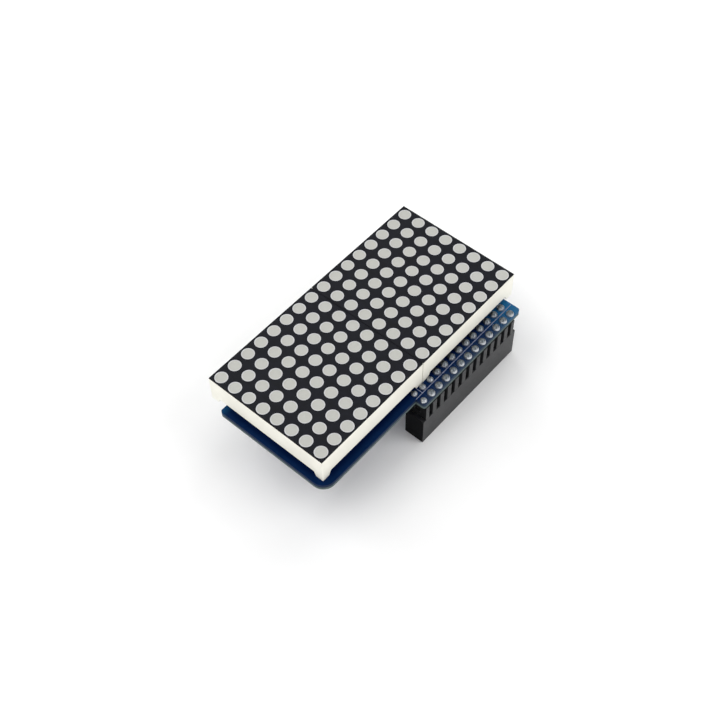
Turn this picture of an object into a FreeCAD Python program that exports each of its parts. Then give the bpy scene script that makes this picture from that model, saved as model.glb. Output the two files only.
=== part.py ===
import FreeCAD
import Part
import math
import os

from FreeCAD import Vector

# LED dot matrix display board: two 8 x 8 modules on a carrier board that plugs on with a
# two-row pin socket. Millimetres. +Z comes out of the display face, +Y runs along the two
# modules, and +X points to the side of the socket. The origin is the centre of the
# socket's lower face, where the board plugs on.

# Dots of the display, each a resin-filled reflector cup over one LED die
DOT_PITCH = 4.0
DOTS_PER_SIDE = 8
DOT_DIAMETER = 3.0
DOT_SIDES = 12
CUP_DEPTH = 4.2
CUP_SMALL_END = 0.6
DIE_SIDE = 0.35
DIE_HEIGHT = 0.2

# White housing of a module
MODULE_GAP = 0.2
HOUSING_WALL = 1.0
HOUSING_HEIGHT = 5.7
FOOT_HEIGHT = 1.35
FOOT_LENGTH = 2.5
FOOT_END_LENGTH = 1.9

# LED board that closes the back of a module, and the pins soldered to it
LED_BOARD_THICKNESS = 1.0
LED_BOARD_LEDGE = 0.5
LED_BOARD_CLEARANCE = 0.1
MODULE_PIN_SIDE = 0.5
MODULE_PIN_PITCH = 2.54
MODULE_PINS_PER_ROW = 8
MODULE_PIN_ROW_INSET = 2.8
MODULE_PIN_TAIL = 1.2

# Carrier board, with a tab over the socket
CARRIER_THICKNESS = 1.6
CARRIER_LEFT_INSET = 3.8
CARRIER_FAR_INSET = 2.2
CARRIER_NEAR_MARGIN = 1.45
CARRIER_RIGHT_MARGIN = 1.7
CARRIER_CORNER_RADIUS = 0.6
CARRIER_ROUND_CORNER_RADIUS = 3.0
TAB_RIGHT_INSET = 0.25
TAB_NEAR_INSET = 0.45
CARRIER_HOLE_CLEARANCE = 0.15

# Pin socket under the tab: a header body, a slotted spacer, contacts and solder joints
SOCKET_PITCH = 2.54
SOCKETS_PER_ROW = 13
SOCKET_SIDE = 0.9
HEADER_WIDTH = 5.0
HEADER_HEIGHT = 8.0
HEADER_AXIS_TO_MODULE = 1.85
HEADER_MIDDLE_TO_FAR_EDGE = 17.85
SPACER_HEIGHT = 4.5
SPACER_END_SETBACK = 0.8
SPACER_SLOT_WIDTH = 1.2
SPACER_SLOT_DEPTH = 1.1
SPACER_POCKET_WIDTH = 1.5
SPACER_POCKET_HEIGHT = 1.0
SPACER_POCKET_DEPTH = 0.8
SPACER_POCKET_LEVEL = 1.7
SPACER_HOLE_CLEARANCE = 0.1
CONTACT_SIDE = 0.5
CONTACT_END_HEIGHT = 2.0
JOINT_DIAMETER = 1.6
JOINT_TOP_DIAMETER = 0.85
JOINT_HEIGHT = 0.75
JOINT_SIDES = 8
JOINT_CLEARANCE = 0.03

# Driver chip under the near module
CHIP_LENGTH = 17.9
CHIP_WIDTH = 7.5
CHIP_HEIGHT = 2.3
CHIP_STANDOFF = 0.1
LEAD_PITCH = 1.27
LEADS_PER_ROW = 14
LEAD_WIDTH = 0.4
LEAD_THICKNESS = 0.25
LEAD_REACH = 1.4
LEAD_FOOT_LENGTH = 0.8

# Capacitors and resistor beside the driver chip
CHIP_TO_PASSIVES = 2.4
PASSIVE_SPACING = 4.0
PASSIVE_LENGTH = 2.0
PASSIVE_WIDTH = 1.25
PASSIVE_CAP_LENGTH = 0.4
PASSIVE_CAP_LIP = 0.05
CAPACITOR_HEIGHT = 0.9
RESISTOR_HEIGHT = 0.5

# Levels, from the socket face upwards
SPACER_BOTTOM = HEADER_HEIGHT
CARRIER_BOTTOM = SPACER_BOTTOM + SPACER_HEIGHT
CARRIER_TOP = CARRIER_BOTTOM + CARRIER_THICKNESS
WALL_BOTTOM = CARRIER_TOP + FOOT_HEIGHT
FACE = WALL_BOTTOM + HOUSING_HEIGHT
CUP_BOTTOM = FACE - CUP_DEPTH
LED_BOARD_TOP = CUP_BOTTOM - DIE_HEIGHT
LED_BOARD_BOTTOM = LED_BOARD_TOP - LED_BOARD_THICKNESS

# Plan: edges of the carrier board and of the modules
MODULE_PITCH = DOTS_PER_SIDE * DOT_PITCH
MODULE_SIDE = MODULE_PITCH - MODULE_GAP
MODULE_RIGHT = -HEADER_AXIS_TO_MODULE
MODULE_LEFT = MODULE_RIGHT - MODULE_SIDE
MODULE_MIDDLE_X = (MODULE_LEFT + MODULE_RIGHT) / 2
CARRIER_LEFT = MODULE_LEFT + CARRIER_LEFT_INSET
CARRIER_RIGHT = MODULE_RIGHT + CARRIER_RIGHT_MARGIN
CARRIER_FAR = HEADER_MIDDLE_TO_FAR_EDGE
FAR_MODULE_Y = CARRIER_FAR + CARRIER_FAR_INSET - MODULE_SIDE / 2
NEAR_MODULE_Y = FAR_MODULE_Y - MODULE_PITCH
CARRIER_NEAR = NEAR_MODULE_Y - MODULE_SIDE / 2 - CARRIER_NEAR_MARGIN
HEADER_LENGTH = SOCKETS_PER_ROW * SOCKET_PITCH
MODULES = {"near": NEAR_MODULE_Y, "far": FAR_MODULE_Y}

# Distance below which two points are the same
TOUCHING = 1e-6


def box(x_middle, y_middle, x_size, y_size, bottom, top):
    """Upright box, placed by its middle in plan and by its two levels."""
    corner = Vector(x_middle - x_size / 2, y_middle - y_size / 2, bottom)
    return Part.makeBox(x_size, y_size, top - bottom, corner)


def polygon(points):
    """Flat face with straight edges through the points."""
    return Part.Face(Part.makePolygon(points + points[:1]))


def ring_points(x_middle, y_middle, radius, sides, level):
    """Corners of a regular polygon whose area is that of the circle of this radius."""
    step = 2 * math.pi / sides
    corner_radius = radius * math.sqrt(step / math.sin(step))
    middle = Vector(x_middle, y_middle, level)
    return [
        middle + corner_radius * Vector(math.cos(k * step), math.sin(k * step), 0)
        for k in range(sides)
    ]


def centred(count, pitch):
    """Evenly spaced places, symmetric about zero."""
    return [(k - (count - 1) / 2) * pitch for k in range(count)]


def grid(x_middle, y_middle, x_places, y_places):
    """Places in plan of a grid of rows and columns."""
    return [(x_middle + x, y_middle + y) for x in x_places for y in y_places]


def dot_places(y_middle):
    places = centred(DOTS_PER_SIDE, DOT_PITCH)
    return grid(MODULE_MIDDLE_X, y_middle, places, places)


def closed_solid(faces):
    """Solid inside a closed set of flat faces."""
    solid = Part.Solid(Part.Shell(faces))
    solid.fix(TOUCHING, TOUCHING, TOUCHING)
    return solid


def cup(x_middle, y_middle):
    """Inside of one reflector cup: round at the face and square over the LED die."""
    rim = ring_points(x_middle, y_middle, DOT_DIAMETER / 2, DOT_SIDES, FACE)
    half = CUP_SMALL_END / 2
    base = [
        Vector(x_middle + half * x, y_middle + half * y, CUP_BOTTOM)
        for x, y in ((1, 1), (-1, 1), (-1, -1), (1, -1))
    ]
    faces = [polygon(rim), polygon(base)]
    quarter = DOT_SIDES // 4
    for side in range(DOT_SIDES):
        corner = base[side // quarter]
        faces.append(polygon([rim[side], rim[(side + 1) % DOT_SIDES], corner]))
    for k in range(4):
        faces.append(polygon([base[k - 1], base[k], rim[k * quarter]]))
    return closed_solid(faces)


def foot_leg(length_x, length_y, end_x, end_y):
    """One leg of a corner foot, from the corner at the origin, tapered at its free end."""
    along_x = abs(length_x) > abs(length_y)
    if along_x:
        profile = [(0, 0), (length_x, 0), (end_x, -FOOT_HEIGHT), (0, -FOOT_HEIGHT)]
        return polygon([Vector(x, 0, z) for x, z in profile]).extrude(Vector(0, length_y, 0))
    profile = [(0, 0), (length_y, 0), (end_y, -FOOT_HEIGHT), (0, -FOOT_HEIGHT)]
    return polygon([Vector(0, y, z) for y, z in profile]).extrude(Vector(length_x, 0, 0))


def foot(x_corner, y_corner, x_inward, y_inward):
    """Corner foot: the two walls that meet at the corner, carried down to the carrier board."""
    wall_x = x_inward * HOUSING_WALL
    wall_y = y_inward * HOUSING_WALL
    along_x = foot_leg(x_inward * FOOT_LENGTH, wall_y, x_inward * FOOT_END_LENGTH, wall_y)
    along_y = foot_leg(wall_x, y_inward * FOOT_LENGTH, wall_x, y_inward * FOOT_END_LENGTH)
    whole = along_x.fuse(along_y)
    whole.translate(Vector(x_corner, y_corner, WALL_BOTTOM))
    return whole


def housing(y_middle):
    """White moulding of one module: reflector block with cups, walls, board ledge and feet."""
    block = box(MODULE_MIDDLE_X, y_middle, MODULE_SIDE, MODULE_SIDE, WALL_BOTTOM, FACE)
    half = MODULE_SIDE / 2
    feet = [
        foot(MODULE_MIDDLE_X - x * half, y_middle - y * half, x, y)
        for x in (1, -1)
        for y in (1, -1)
    ]
    pocket_side = MODULE_SIDE - 2 * HOUSING_WALL
    relief_side = pocket_side - 2 * LED_BOARD_LEDGE
    pocket = box(MODULE_MIDDLE_X, y_middle, pocket_side, pocket_side, WALL_BOTTOM, LED_BOARD_TOP)
    relief = box(MODULE_MIDDLE_X, y_middle, relief_side, relief_side, LED_BOARD_TOP, CUP_BOTTOM)
    cups = [cup(x, y) for x, y in dot_places(y_middle)]
    return block.fuse(feet).cut([pocket, relief]).cut(cups).removeSplitter()


def resin_dots(y_middle):
    """Diffusing resin cast into the cups, level with the face."""
    return Part.makeCompound([cup(x, y) for x, y in dot_places(y_middle)])


def led_dies(y_middle):
    """One LED die on the LED board under the small end of each cup."""
    return Part.makeCompound([
        box(x, y, DIE_SIDE, DIE_SIDE, LED_BOARD_TOP, CUP_BOTTOM) for x, y in dot_places(y_middle)
    ])


def led_board_side():
    return MODULE_SIDE - 2 * HOUSING_WALL - 2 * LED_BOARD_CLEARANCE


def led_board(y_middle):
    side = led_board_side()
    return box(MODULE_MIDDLE_X, y_middle, side, side, LED_BOARD_BOTTOM, LED_BOARD_TOP)


def module_pin_places(y_middle):
    row = led_board_side() / 2 - MODULE_PIN_ROW_INSET
    places = centred(MODULE_PINS_PER_ROW, MODULE_PIN_PITCH)
    return grid(MODULE_MIDDLE_X, y_middle, places, (-row, row))


def module_pins(y_middle):
    """Two rows of square pins from the LED board down through the carrier board."""
    end = CARRIER_BOTTOM - MODULE_PIN_TAIL
    return Part.makeCompound([
        box(x, y, MODULE_PIN_SIDE, MODULE_PIN_SIDE, end, LED_BOARD_BOTTOM)
        for x, y in module_pin_places(y_middle)
    ])


def contact_places():
    rows = centred(2, SOCKET_PITCH)
    return grid(0, 0, rows, centred(SOCKETS_PER_ROW, SOCKET_PITCH))


def carrier_board():
    """L-shaped board: the main part under the modules and the tab over the socket."""
    tab_right = HEADER_WIDTH / 2 - TAB_RIGHT_INSET
    tab_near = -HEADER_LENGTH / 2 + TAB_NEAR_INSET
    outline = [
        (CARRIER_LEFT, CARRIER_NEAR),
        (CARRIER_RIGHT, CARRIER_NEAR),
        (CARRIER_RIGHT, tab_near),
        (tab_right, tab_near),
        (tab_right, CARRIER_FAR),
        (CARRIER_LEFT, CARRIER_FAR),
    ]
    plate = polygon([Vector(x, y, CARRIER_BOTTOM) for x, y in outline])
    plate = plate.extrude(Vector(0, 0, CARRIER_THICKNESS))
    round_corner = (CARRIER_RIGHT, CARRIER_NEAR)
    inner_corner = (CARRIER_RIGHT, tab_near)
    small_corners = [corner for corner in outline if corner not in (round_corner, inner_corner)]
    plate = plate.makeFillet(CARRIER_ROUND_CORNER_RADIUS, upright_edges(plate, [round_corner]))
    plate = plate.makeFillet(CARRIER_CORNER_RADIUS, upright_edges(plate, small_corners))
    module_hole = MODULE_PIN_SIDE + 2 * CARRIER_HOLE_CLEARANCE
    contact_hole = CONTACT_SIDE + 2 * CARRIER_HOLE_CLEARANCE
    holes = [box(x, y, contact_hole, contact_hole, CARRIER_BOTTOM, CARRIER_TOP) for x, y in contact_places()]
    for y_middle in MODULES.values():
        for x, y in module_pin_places(y_middle):
            holes.append(box(x, y, module_hole, module_hole, CARRIER_BOTTOM, CARRIER_TOP))
    return plate.cut(holes)


def upright_edges(plate, corners):
    """Upright edges of the plate that stand at these corners of its outline."""
    found = []
    for edge in plate.Edges:
        start = edge.Vertexes[0].Point
        end = edge.Vertexes[-1].Point
        upright = abs(start.x - end.x) + abs(start.y - end.y) < TOUCHING
        for x, y in corners:
            if upright and abs(start.x - x) + abs(start.y - y) < TOUCHING:
                found.append(edge)
    return found


def header_body():
    """Black moulding with one square socket for each contact."""
    body = box(0, 0, HEADER_WIDTH, HEADER_LENGTH, 0, HEADER_HEIGHT)
    sockets = [box(x, y, SOCKET_SIDE, SOCKET_SIDE, 0, HEADER_HEIGHT) for x, y in contact_places()]
    return body.cut(sockets)


def header_spacer():
    """Black block between header and carrier board: slotted sides, and a pocket in each end."""
    length = HEADER_LENGTH - 2 * SPACER_END_SETBACK
    block = box(0, 0, HEADER_WIDTH, length, SPACER_BOTTOM, CARRIER_BOTTOM)
    hole = CONTACT_SIDE + 2 * SPACER_HOLE_CLEARANCE
    cuts = [box(x, y, hole, hole, SPACER_BOTTOM, CARRIER_BOTTOM) for x, y in contact_places()]
    slot_middle = HEADER_WIDTH / 2 - SPACER_SLOT_DEPTH / 2
    for y in centred(SOCKETS_PER_ROW - 1, SOCKET_PITCH):
        for x in (-slot_middle, slot_middle):
            cuts.append(box(x, y, SPACER_SLOT_DEPTH, SPACER_SLOT_WIDTH, SPACER_BOTTOM, CARRIER_BOTTOM))
    pocket_bottom = SPACER_BOTTOM + SPACER_POCKET_LEVEL
    pocket_top = pocket_bottom + SPACER_POCKET_HEIGHT
    pocket_middle = (length - SPACER_POCKET_DEPTH) / 2
    for y in (-pocket_middle, pocket_middle):
        cuts.append(box(0, y, SPACER_POCKET_WIDTH, SPACER_POCKET_DEPTH, pocket_bottom, pocket_top))
    return block.cut(cuts)


def header_contacts():
    """Contacts, from inside the sockets up to the top of the carrier board."""
    return Part.makeCompound([
        box(x, y, CONTACT_SIDE, CONTACT_SIDE, CONTACT_END_HEIGHT, CARRIER_TOP)
        for x, y in contact_places()
    ])


def joint_radius(x, y):
    """Radius of a solder joint, no wider than the gap to a housing foot beside it."""
    half = MODULE_SIDE / 2
    ends = [y_middle + side * half for y_middle in MODULES.values() for side in (-1, 1)]
    reach = FOOT_LENGTH + JOINT_DIAMETER / 2
    if min(abs(y - end) for end in ends) < reach:
        return min(JOINT_DIAMETER / 2, x - MODULE_RIGHT - JOINT_CLEARANCE)
    return JOINT_DIAMETER / 2


def solder_joint(x, y):
    """Domed solder over the end of one contact, on top of the carrier board."""
    radius = joint_radius(x, y)
    top_radius = radius * JOINT_TOP_DIAMETER / JOINT_DIAMETER
    base = ring_points(x, y, radius, JOINT_SIDES, CARRIER_TOP)
    top = ring_points(x, y, top_radius, JOINT_SIDES, CARRIER_TOP + JOINT_HEIGHT)
    flanks = [polygon([base[k - 1], base[k], top[k], top[k - 1]]) for k in range(JOINT_SIDES)]
    return closed_solid([polygon(base), polygon(top)] + flanks)


def header_joints():
    return Part.makeCompound([solder_joint(x, y) for x, y in contact_places()])


def chip_body():
    top = CARRIER_BOTTOM - CHIP_STANDOFF
    return box(MODULE_MIDDLE_X, NEAR_MODULE_Y, CHIP_LENGTH, CHIP_WIDTH, top - CHIP_HEIGHT, top)


def chip_lead(x, side):
    """One bent lead: it leaves the body at half height and ends in a foot on the carrier board."""
    body_middle = CARRIER_BOTTOM - CHIP_STANDOFF - CHIP_HEIGHT / 2
    foot_start = LEAD_REACH - LEAD_FOOT_LENGTH
    profile = [
        (0, body_middle - LEAD_THICKNESS),
        (foot_start + LEAD_THICKNESS, CARRIER_BOTTOM - LEAD_THICKNESS),
        (LEAD_REACH, CARRIER_BOTTOM - LEAD_THICKNESS),
        (LEAD_REACH, CARRIER_BOTTOM),
        (foot_start, CARRIER_BOTTOM),
        (0, body_middle),
    ]
    edge = NEAR_MODULE_Y + side * CHIP_WIDTH / 2
    start = x - LEAD_WIDTH / 2
    face = polygon([Vector(start, edge + side * out, level) for out, level in profile])
    return face.extrude(Vector(LEAD_WIDTH, 0, 0))


def chip_leads():
    places = centred(LEADS_PER_ROW, LEAD_PITCH)
    return Part.makeCompound([
        chip_lead(MODULE_MIDDLE_X + x, side) for x in places for side in (-1, 1)
    ])


def passive_y():
    return NEAR_MODULE_Y + CHIP_WIDTH / 2 + LEAD_REACH + CHIP_TO_PASSIVES


def passive_body(place, height):
    length = PASSIVE_LENGTH - 2 * PASSIVE_CAP_LENGTH
    x = MODULE_MIDDLE_X + place * PASSIVE_SPACING
    top = CARRIER_BOTTOM - PASSIVE_CAP_LIP
    return box(x, passive_y(), length, PASSIVE_WIDTH, top - height, top)


def passive_caps(place, height):
    """Metal caps at the two ends of a capacitor or resistor."""
    width = PASSIVE_WIDTH + 2 * PASSIVE_CAP_LIP
    reach = (PASSIVE_LENGTH - PASSIVE_CAP_LENGTH) / 2
    bottom = CARRIER_BOTTOM - height - 2 * PASSIVE_CAP_LIP
    x = MODULE_MIDDLE_X + place * PASSIVE_SPACING
    return [
        box(x + side * reach, passive_y(), PASSIVE_CAP_LENGTH, width, bottom, CARRIER_BOTTOM)
        for side in (-1, 1)
    ]


def all_nodes():
    """Every piece of the board by its node name."""
    nodes = {}
    for name, y_middle in MODULES.items():
        nodes[name + "_module_housing"] = housing(y_middle)
        nodes[name + "_module_resin_dots"] = resin_dots(y_middle)
        nodes[name + "_module_led_dies"] = led_dies(y_middle)
        nodes[name + "_module_led_board"] = led_board(y_middle)
        nodes[name + "_module_pins"] = module_pins(y_middle)
    nodes["carrier_board"] = carrier_board()
    nodes["header_body"] = header_body()
    nodes["header_spacer"] = header_spacer()
    nodes["header_contacts"] = header_contacts()
    nodes["header_solder_joints"] = header_joints()
    nodes["driver_chip_body"] = chip_body()
    nodes["driver_chip_leads"] = chip_leads()
    capacitors = (-1, 0)
    resistor = 1
    nodes["capacitor_bodies"] = Part.makeCompound([passive_body(p, CAPACITOR_HEIGHT) for p in capacitors])
    nodes["capacitor_end_caps"] = Part.makeCompound(
        [cap for p in capacitors for cap in passive_caps(p, CAPACITOR_HEIGHT)]
    )
    nodes["resistor_body"] = passive_body(resistor, RESISTOR_HEIGHT)
    nodes["resistor_end_caps"] = Part.makeCompound(passive_caps(resistor, RESISTOR_HEIGHT))
    return nodes


os.makedirs("parts", exist_ok=True)
for node, shape in all_nodes().items():
    shape.exportStep("parts/" + node + ".step")
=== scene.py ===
# %% [markdown]
# # A 16 by 8 LED dot matrix board
#
# The object is a display that plugs on to another board. Two square LED modules sit side by side
# on a blue carrier board. A black two-row pin socket hangs under a tab at one side. Its contacts
# come up through the tab and are soldered on top. The CAD model gives every size and place, so
# this lesson only adds what CAD leaves out: finishes, print, solder, copper tracks and soft edges.
#
# Everything is in metres and in the CAD model's own frame. Z comes out of the display face, Y runs
# along the two modules, and X points to the side of the pin socket.

# %% Load the CAD model
import math

import bmesh
import bpy
from mathutils import Matrix, Vector


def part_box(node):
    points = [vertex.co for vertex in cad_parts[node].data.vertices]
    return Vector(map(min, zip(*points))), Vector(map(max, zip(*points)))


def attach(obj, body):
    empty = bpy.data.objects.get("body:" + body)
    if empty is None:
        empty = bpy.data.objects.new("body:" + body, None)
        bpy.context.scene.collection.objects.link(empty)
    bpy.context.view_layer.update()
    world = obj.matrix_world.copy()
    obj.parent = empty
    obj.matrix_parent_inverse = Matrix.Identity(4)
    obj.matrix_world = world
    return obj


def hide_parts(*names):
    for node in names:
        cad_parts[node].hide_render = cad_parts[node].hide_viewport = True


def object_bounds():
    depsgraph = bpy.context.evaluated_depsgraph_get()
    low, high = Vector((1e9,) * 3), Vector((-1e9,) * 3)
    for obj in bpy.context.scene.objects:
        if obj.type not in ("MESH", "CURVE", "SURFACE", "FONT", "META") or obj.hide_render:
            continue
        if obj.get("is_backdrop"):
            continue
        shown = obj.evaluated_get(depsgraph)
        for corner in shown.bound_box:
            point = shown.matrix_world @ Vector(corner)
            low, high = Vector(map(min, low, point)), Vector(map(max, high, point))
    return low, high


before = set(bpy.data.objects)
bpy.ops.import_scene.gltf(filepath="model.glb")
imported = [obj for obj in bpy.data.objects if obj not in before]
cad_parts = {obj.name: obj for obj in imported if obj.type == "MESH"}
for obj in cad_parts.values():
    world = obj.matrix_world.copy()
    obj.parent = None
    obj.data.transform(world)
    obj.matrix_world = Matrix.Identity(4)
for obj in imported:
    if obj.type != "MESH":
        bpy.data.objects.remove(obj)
cad_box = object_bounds()
MM = 0.001
BODY = "root"
print("CAD nodes:", len(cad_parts))

# %% [markdown]
# ## Where things are
#
# A node's box gives its lowest and highest corner. Reading the few levels and edges that the
# added pieces need from those boxes keeps them in place if the CAD model changes. Lengths that
# the boxes can't give, such as the pitch of the dots, are the standard ones of such displays.

# %% Levels and edges from the CAD boxes
DOT_PITCH = 4.0 * MM
DOTS_PER_SIDE = 8
DOT_RADIUS = 1.5 * MM
SOCKET_PITCH = 2.54 * MM
SOCKETS_PER_ROW = 13
MODULES = ("near", "far")

board_low, board_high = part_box("carrier_board")
header_low, header_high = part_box("header_body")
housing_boxes = {name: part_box(name + "_module_housing") for name in MODULES}
module_centres = {name: (low + high) / 2 for name, (low, high) in housing_boxes.items()}
near_low, near_high = housing_boxes["near"]
face_level = near_high.z
module_side = near_high.x - near_low.x
module_right = near_high.x
print("face level", round(face_level / MM, 2), "mm, module side", round(module_side / MM, 2), "mm")


def centred(count, pitch):
    """Evenly spaced places, symmetric about zero."""
    return [(k - (count - 1) / 2) * pitch for k in range(count)]


# %% [markdown]
# ## The camera
#
# The photograph was taken with a normal lens from above, a little to the right of the display's
# near corner. Its place and turn were worked out by matching the centres of the dots, which sit on
# a known 4 mm grid, so the render lines up with the photograph without any fitting by eye. The
# shift moves the picture by half a pixel, from pixel corners to pixel middles.

# %% Camera
CAMERA_PLACE = (84.401 * MM, -127.420 * MM, 223.413 * MM)
CAMERA_TURN = (35.5945, 0.7721, 40.8942)
CAMERA_LENS = 59.089
SENSOR_WIDTH = 36.0
NEAREST = 5 * MM
HALF_PIXEL = 0.5 / 720


def into_scene(name, data):
    """A new object with this data, linked to the scene."""
    thing = bpy.data.objects.new(name, data)
    bpy.context.scene.collection.objects.link(thing)
    return thing


camera_data = bpy.data.cameras.new("photo_camera")
camera_data.lens = CAMERA_LENS
camera_data.sensor_width = SENSOR_WIDTH
camera_data.shift_x = -HALF_PIXEL
camera_data.shift_y = HALF_PIXEL
camera_data.clip_start = NEAREST
camera = into_scene("photo_camera", camera_data)
camera.location = CAMERA_PLACE
camera.rotation_euler = [math.radians(angle) for angle in CAMERA_TURN]
bpy.context.scene.camera = camera

# %% [markdown]
# ## A helper for nodes
#
# Light and materials are both built from nodes. One function adds a node, sets its options and
# fills its sockets. A socket gets a value, or a link where it is given an output or a whole node,
# and from a whole node it takes the output that is in use.

# %% Node helper


def fill(tree, node, sockets):
    """Sets or links the sockets of a node."""
    for key, value in sockets.items():
        if isinstance(value, bpy.types.Node):
            value = next(output for output in value.outputs if output.enabled)
        if isinstance(value, bpy.types.NodeSocket):
            tree.links.new(value, node.inputs[key])
        else:
            node.inputs[key].default_value = value


def add(tree, kind, sockets=None, **options):
    """Adds a node with its options and sockets."""
    node = tree.nodes.new(kind)
    for name, value in options.items():
        setattr(node, name, value)
    fill(tree, node, sockets or {})
    return node


# %% [markdown]
# ## Light
#
# Product photographs like this one are taken in a white tent: light comes from all round, and
# large soft panels add direction. The world gives the even part. It is white near the horizon and
# dark overhead, where such a tent is open, so flat dark faces reflect little. The panels are area
# lights in a ring round the object. Where they stand and how strong they are was worked out from
# the soft shadow on the floor and from the brightness of each side.

# %% Light and world
HORIZON_STRENGTH = 1.0
ZENITH_STRENGTH = 0.12
ZENITH_START = 0.55
PANEL_DISTANCE = 0.6
# Name: azimuth and elevation in degrees, side in metres, power in watts. Azimuth 0 is the -Y side.
PANELS = {
    "panel_left": (-75, 50, 0.30, 0.86),
    "panel_front_left": (-30, 50, 0.30, 0.86),
    "panel_front_right": (30, 50, 0.30, 0.44),
    "panel_right": (120, 45, 0.30, 1.04),
    "panel_low_right": (88, 26, 0.20, 0.26),
    "panel_behind": (-175, 45, 0.30, 0.67),
    "panel_low_behind_left": (-120, 25, 0.30, 0.76),
    "panel_above": (-120, 85, 0.45, 0.60),
}

world = bpy.data.worlds.new("white_tent")
world.use_nodes = True
sky = world.node_tree
direction = add(sky, "ShaderNodeTexCoord")
height = add(sky, "ShaderNodeSeparateXYZ", {"Vector": direction.outputs["Generated"]})
tent = add(
    sky,
    "ShaderNodeMapRange",
    {
        "Value": height.outputs["Z"],
        "From Max": ZENITH_START,
        "To Min": HORIZON_STRENGTH,
        "To Max": ZENITH_STRENGTH,
    },
    interpolation_type="SMOOTHSTEP",
)
fill(sky, sky.nodes["Background"], {"Color": (1.0, 1.0, 1.0, 1.0), "Strength": tent})
bpy.context.scene.world = world
bpy.context.scene.view_settings.view_transform = "Standard"

target = (cad_box[0] + cad_box[1]) / 2
for panel_name, (azimuth, elevation, size, power) in PANELS.items():
    turn, rise = math.radians(azimuth), math.radians(elevation)
    across = math.cos(rise)
    away = Vector((math.sin(turn) * across, -math.cos(turn) * across, math.sin(rise)))
    lamp = bpy.data.lights.new(panel_name, "AREA")
    lamp.shape = "SQUARE"
    lamp.size = size
    lamp.energy = power
    panel = into_scene(panel_name, lamp)
    panel.location = target + away * PANEL_DISTANCE
    panel.rotation_mode = "QUATERNION"
    panel.rotation_quaternion = away.to_track_quat("Z", "Y")
print("soft panels:", len(PANELS))

# %% [markdown]
# ## Helpers for materials
#
# A colour is written as the hex number that a colour picker shows. Those numbers are sRGB, and
# the renderer works in linear light, so one function turns them. Three others lay the patterns
# that nearly every surface has: spots of two close shades, uneven gloss and a fine relief. They
# are laid out in real millimetres.

# %% Colours and the start of a material


def hex_colour(code):
    """Linear RGBA from an sRGB hex code."""
    channels = [int(code[k : k + 2], 16) / 255 for k in (1, 3, 5)]
    linear = [c / 12.92 if c <= 0.04045 else ((c + 0.055) / 1.055) ** 2.4 for c in channels]
    return (*linear, 1.0)


def start_material(name, **values):
    """A material with only its shader. Returns the material, its tree, the shader and the place."""
    material = bpy.data.materials.new(name)
    material.use_nodes = True
    tree = material.node_tree
    tree.nodes.clear()
    sockets = {key.replace("_", " "): value for key, value in values.items()}
    shader = add(tree, "ShaderNodeBsdfPrincipled", sockets)
    add(tree, "ShaderNodeOutputMaterial", {"Surface": shader})
    place = add(tree, "ShaderNodeTexCoord").outputs["Object"]
    return material, tree, shader, place


# %% Patterns
SPOTS_FROM = 0.35
SPOTS_TO = 0.65


def grain(size):
    """Noise scale for spots of this size in metres."""
    return 1.0 / size


def mottle(tree, shader, place, size, light, dark):
    """Slow change of colour between two close shades, in spots of this size."""
    noise = add(tree, "ShaderNodeTexNoise", {"Vector": place, "Scale": grain(size), "Detail": 3.0})
    spread = add(
        tree, "ShaderNodeMapRange", {"Value": noise, "From Min": SPOTS_FROM, "From Max": SPOTS_TO}
    )
    shade = add(
        tree,
        "ShaderNodeMix",
        {0: spread, 6: hex_colour(dark), 7: hex_colour(light)},
        data_type="RGBA",
    )
    fill(tree, shader, {"Base Color": shade})
    return shade


def roughen(tree, shader, place, size, low, high):
    """Roughness that changes between two values in spots of this size."""
    noise = add(tree, "ShaderNodeTexNoise", {"Vector": place, "Scale": grain(size), "Detail": 4.0})
    spread = add(tree, "ShaderNodeMapRange", {"Value": noise, "To Min": low, "To Max": high})
    fill(tree, shader, {"Roughness": spread})


def emboss(tree, shader, place, size, depth):
    """Fine relief of this grain size and depth."""
    noise = add(tree, "ShaderNodeTexNoise", {"Vector": place, "Scale": grain(size), "Detail": 2.0})
    bump = add(tree, "ShaderNodeBump", {"Height": noise, "Distance": depth, "Strength": 1.0})
    fill(tree, shader, {"Normal": bump})


def plain_finish(name, spots, gloss, relief=None, **values):
    """A finish of spots, uneven gloss and, where it is given, relief. values go on the shader."""
    material, tree, shader, place = start_material(name, **values)
    mottle(tree, shader, place, *spots)
    roughen(tree, shader, place, *gloss)
    if relief:
        emboss(tree, shader, place, *relief)
    return material


# %% [markdown]
# ## The finishes
#
# Each finish starts from what the real thing is made of. Plastics are told apart by colour and by
# how sharp their gloss is. Moulded plastic has a fine spark-eroded grain, printed ink is flat
# and dull, cast resin is smooth with a brighter rim where the white cup shows through, and solder
# mask is a glossy lacquer over copper and glass fibre.

# %% Material: moulded white polycarbonate
# Filled white polycarbonate, injection moulded. Milky, with a soft gloss and a faint warm tint.
white_plastic = plain_finish(
    "moulded_white_polycarbonate",
    (6 * MM, "#FAF8EC", "#F4F2E6"),
    (2 * MM, 0.42, 0.55),
    (0.12 * MM, 0.004 * MM),
    IOR=1.58,
)

# %% Material: screen-printed black epoxy ink
# Matt black ink on the face. Real pigment grain is far under a pixel, so it is drawn 0.2 mm wide.
black_ink = plain_finish(
    "screen_printed_black_ink",
    (1.2 * MM, "#0E1019", "#090B12"),
    (0.8 * MM, 0.5, 0.64),
    (0.2 * MM, 0.006 * MM),
    IOR=1.45,
    Specular_IOR_Level=0.2,
)

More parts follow.
